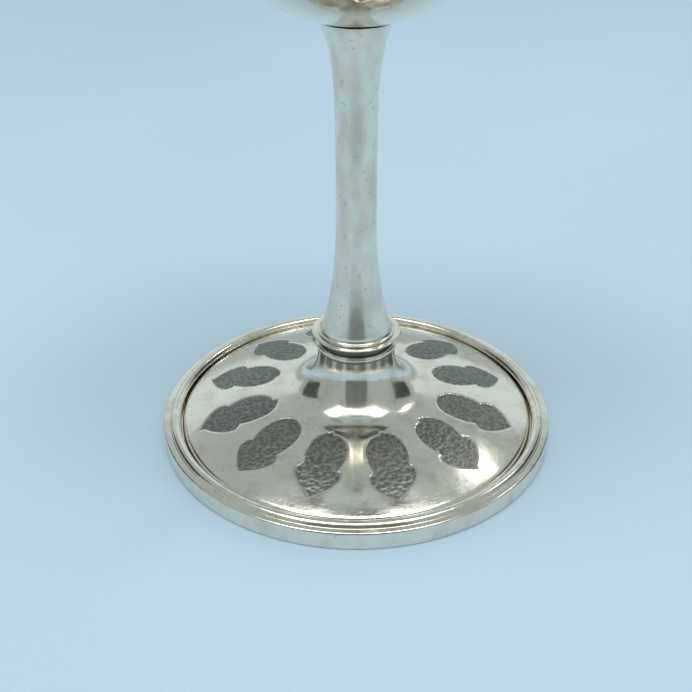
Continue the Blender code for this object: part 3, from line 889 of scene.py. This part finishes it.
def silver(name, tarnish, polish=0.1):
    """Worn silver plate. tarnish is from 0, bright, to 1, dull; polish is its least roughness."""
    s = Shading(name)
    drawn_out = s.stretched((1 / (4 * MM), 1 / (4 * MM), 1 / (9 * MM)))
    film_start = 0.72 - 0.5 * tarnish
    film = s.ramp(s.noise(1.0, 5, drawn_out, 0.6), film_start, film_start + 0.28, 0, 0.7)
    colour = s.mix(film, CLEAN_SILVER, TARNISHED_SILVER)
    spots = s.ramp(s.noise(1.2 * MM, 3), 0.62, 0.76, 0, 0.6 * tarnish)
    colour = s.mix(spots, colour, SPOT_COLOUR)
    leaf, pit = s.attribute("leaf"), s.attribute("pit")
    # Where leaf and pit are 1 on the stem collar's undercut, this dark matted colour is painted shade.
    matted = s.mix(s.ramp(pit, 0.1, 0.7), RIDGE_COLOUR, OXIDE_COLOUR)
    s.set("Base Color", s.mix(leaf, colour, matted))
    s.set("Metallic", 1.0)
    rough = s.ramp(s.noise(4 * MM, 4), 0.3, 0.8, polish, polish + 0.12)
    rough = s.math("ADD", rough, s.math("MULTIPLY", spots, 0.3))
    s.set("Roughness", s.math("ADD", rough, s.math("MULTIPLY", leaf, 0.2)))
    scratches = s.scratches(6 * MM, 0.12 * MM, SCRATCH_TURNS)
    normal = s.bump(scratches, -0.0015 * MM)
    rings = s.noise(1.0, 2, s.stretched((30, 30, 1 / (0.25 * MM))))
    normal = s.bump(rings, 0.0008 * MM, normal)
    normal = s.bump(s.noise(7 * MM, 2), 0.012 * MM, normal)
    s.set("Normal", normal)
    return s.material


def gilt(name):
    """Gilding inside the bowl, worn towards silver where it is wiped."""
    s = Shading(name)
    worn = s.ramp(s.noise(12 * MM, 5), 0.5, 0.8)
    s.set("Base Color", s.mix(worn, GILT_COLOUR, WORN_GILT_COLOUR))
    s.set("Metallic", 1.0)
    s.set("Roughness", s.ramp(s.noise(5 * MM, 4), 0.3, 0.8, 0.14, 0.3))
    s.set("Normal", s.bump(s.scratches(8 * MM, 0.15 * MM, SCRATCH_TURNS), -0.0015 * MM))
    return s.material


def brass(name):
    """Plain turned brass, dulled in patches, with tool marks round it."""
    s = Shading(name)
    dull = s.ramp(s.noise(3 * MM, 5), 0.35, 0.7)
    s.set("Base Color", s.mix(dull, BRASS_COLOUR, DULL_BRASS_COLOUR))
    s.set("Metallic", 1.0)
    s.set("Roughness", s.ramp(s.noise(2 * MM, 4), 0.3, 0.75, 0.25, 0.5))
    marks = s.noise(1.0, 2, s.stretched((60, 60, 1 / (0.12 * MM))))
    s.set("Normal", s.bump(marks, 0.006 * MM))
    return s.material


# Studio

FLOOR_COLOUR = (0.60, 0.76, 0.90)
WHITE = (1, 1, 1)
WARM_WHITE = (1.0, 0.98, 0.92)
COOL_WHITE = (0.8, 0.93, 1.0)
FLOOR_RADIUS = 2.4
STAGE_COLUMNS = 96
FLAG_TINT = 0.92  # a flag's blue, as a share of its red and green


def floor_material(name, glow):
    """Pale blue cloth, almost plain, with a faint grain. glow makes up for light that misses it."""
    s = Shading(name)
    soft = s.ramp(s.noise(0.3, 3), 0.3, 0.7)
    darker = tuple(0.93 * part for part in FLOOR_COLOUR)
    s.set("Base Color", s.mix(soft, darker, FLOOR_COLOUR))
    s.set("Roughness", 0.9)
    s.set("Emission Color", (*FLOOR_COLOUR, 1))
    s.set("Emission Strength", glow)
    s.set("Normal", s.bump(s.noise(0.6 * MM, 2), 0.05 * MM))
    return s.material


def studio_mesh(name, rings, material):
    """An open mesh through the rings that is part of the studio, not of the vessel."""
    mesh = bpy.data.meshes.new(name)
    starts = np.cumsum([0] + [len(ring.turns) for ring in rings])
    faces = []
    for i in range(len(rings) - 1):
        faces += stitch(starts[i], len(rings[i].turns), starts[i + 1], len(rings[i + 1].turns))
    mesh.from_pydata(np.concatenate([ring.points() for ring in rings]), [], faces)
    mesh.materials.append(material)
    mesh.shade_smooth()
    obj = bpy.data.objects.new(name, mesh)
    bpy.context.scene.collection.objects.link(obj)
    return obj


def floor(material):
    """A flat disc."""
    outline = [(0, 0), (0.2, 0), (0.6, 0), (1.2, 0), (FLOOR_RADIUS, 0)]
    studio_mesh("floor", make_rings(outline, even_turns(STAGE_COLUMNS)), material)


def backdrop(material):
    """A pale curved wall round the floor, which only the camera sees."""
    curve, height = 0.6, 4.0
    outline = [(FLOOR_RADIUS, 0)] + arc((FLOOR_RADIUS, curve), curve, -90, 0, 12)
    outline.append((FLOOR_RADIUS + curve, height))
    wall = studio_mesh("backdrop", make_rings(outline, even_turns(STAGE_COLUMNS)), material)
    wall.visible_glossy = False
    wall.visible_diffuse = False
    wall.visible_shadow = False


def area_light(name, shape, size, place, radiance, colour, aim=(0, 0, 0.02)):
    """A soft light that faces its aim. radiance is how bright its face looks in a mirror."""
    data = bpy.data.lights.new(name, "AREA")
    data.shape = shape
    data.size = size[0]
    data.size_y = size[1]
    area = size[0] * size[1] * (pi / 4 if shape in ("DISK", "ELLIPSE") else 1)
    data.energy = radiance * area * pi
    data.color = colour
    obj = bpy.data.objects.new(name, data)
    obj.location = place
    obj.rotation_euler = (Vector(aim) - Vector(place)).to_track_quat("-Z", "Y").to_euler()
    obj.visible_camera = False
    bpy.context.scene.collection.objects.link(obj)
    return obj


def at(azimuth, elevation, distance):
    """A place seen from the vessel: azimuth from the front towards +X, both angles in degrees."""
    a, e = radians(azimuth), radians(elevation)
    return (distance * sin(a) * cos(e), -distance * cos(a) * cos(e), distance * sin(e))


def lights():
    """A softbox overhead that faces straight down, a small lamp and a wide pale card behind."""
    softbox_place, softbox_size = (0, -0.13, 1.0), (0.95, 0.50)
    ceiling = area_light("overhead_softbox", "RECTANGLE", softbox_size, softbox_place, 4.0, WHITE)
    ceiling.rotation_euler = (0, 0, 0)
    area_light("back_lamp", "DISK", (0.1, 0.1), at(133, 50, 1.0), 12.0, WARM_WHITE)
    card_place, card_size = (0, 1.5, 0.7), (2.6, 0.8)
    back = area_light("back_card", "RECTANGLE", card_size, card_place, 0.36, COOL_WHITE)
    back.rotation_euler = (radians(90), 0, radians(180))


def flag(name, low, high, grey):
    """An upright card that reflections see and the camera doesn't, from corner low to corner high."""
    material = bpy.data.materials.new(name)
    material.use_nodes = True
    shader = material.node_tree.nodes["Principled BSDF"]
    shader.inputs["Base Color"].default_value = (grey, grey, FLAG_TINT * grey, 1)
    shader.inputs["Roughness"].default_value = 0.9
    mesh = bpy.data.meshes.new(name)
    corners = [low, (high[0], high[1], low[2]), high, (low[0], low[1], high[2])]
    mesh.from_pydata(corners, [], [(0, 1, 2, 3)])
    mesh.materials.append(material)
    obj = bpy.data.objects.new(name, mesh)
    obj.visible_camera = False
    bpy.context.scene.collection.objects.link(obj)


def flags():
    """A narrow card in front, where the camera stands, and a dark one on each side."""
    flag("front_flag", (-0.11, -0.215, 0.0), (0.11, -0.215, 0.44), 0.3)
    for side in (-1, 1):
        flag(f"side_flag_{side + 2}", (side * 0.9, 0.1, 0.12), (side * 0.9, 0.75, 0.75), 0.1)


def world():
    shade = bpy.data.worlds.new("dim_room")
    shade.use_nodes = True
    background = shade.node_tree.nodes["Background"]
    background.inputs["Color"].default_value = (0.39, 0.45, 0.45, 1)
    background.inputs["Strength"].default_value = 1.0
    bpy.context.scene.world = shade


def camera():
    data = bpy.data.cameras.new("camera")
    data.lens = CAMERA_LENS
    data.sensor_width = CAMERA_SENSOR
    data.clip_start = 0.01
    data.clip_end = 20
    obj = bpy.data.objects.new("camera", data)
    obj.location = (-CAMERA_LEFT, -CAMERA_FRONT, CAMERA_HEIGHT)
    tilt = Matrix.Rotation(pi / 2 - CAMERA_PITCH, 4, "X") @ Matrix.Rotation(CAMERA_ROLL, 4, "Z")
    obj.rotation_euler = tilt.to_euler()
    bpy.context.scene.collection.objects.link(obj)
    bpy.context.scene.camera = obj


def studio():
    floor(floor_material("pale_floor", 0.0))
    backdrop(floor_material("pale_backdrop", 0.3))
    lights()
    flags()
    world()
    camera()
    bpy.context.scene.view_settings.view_transform = "Standard"


def vessel():
    rng = np.random.default_rng(SEED)
    foot_silver = silver("silver_foot", 0.55)
    stem_silver = silver("silver_stem", 0.7, 0.15)
    bowl_silver = silver("silver_bowl_outside", 0.2)
    lid_silver = silver("silver_lid", 0.35)
    foot_rim(foot_silver)
    foot_shell(foot_silver, rng)
    neck_bead(foot_silver)
    stem_collar(foot_silver)
    stem(stem_silver)
    bowl(bowl_silver, gilt("gilt_inside"), rng)
    bowl_rim(bowl_silver)
    lid_rim(lid_silver)
    lid_bezel(lid_silver)
    lid_shell(lid_silver, rng)
    finial_collar(lid_silver)
    knop(lid_silver)
    cross(lid_silver)
    fixings(brass("brass_fixings"))


vessel()
studio()
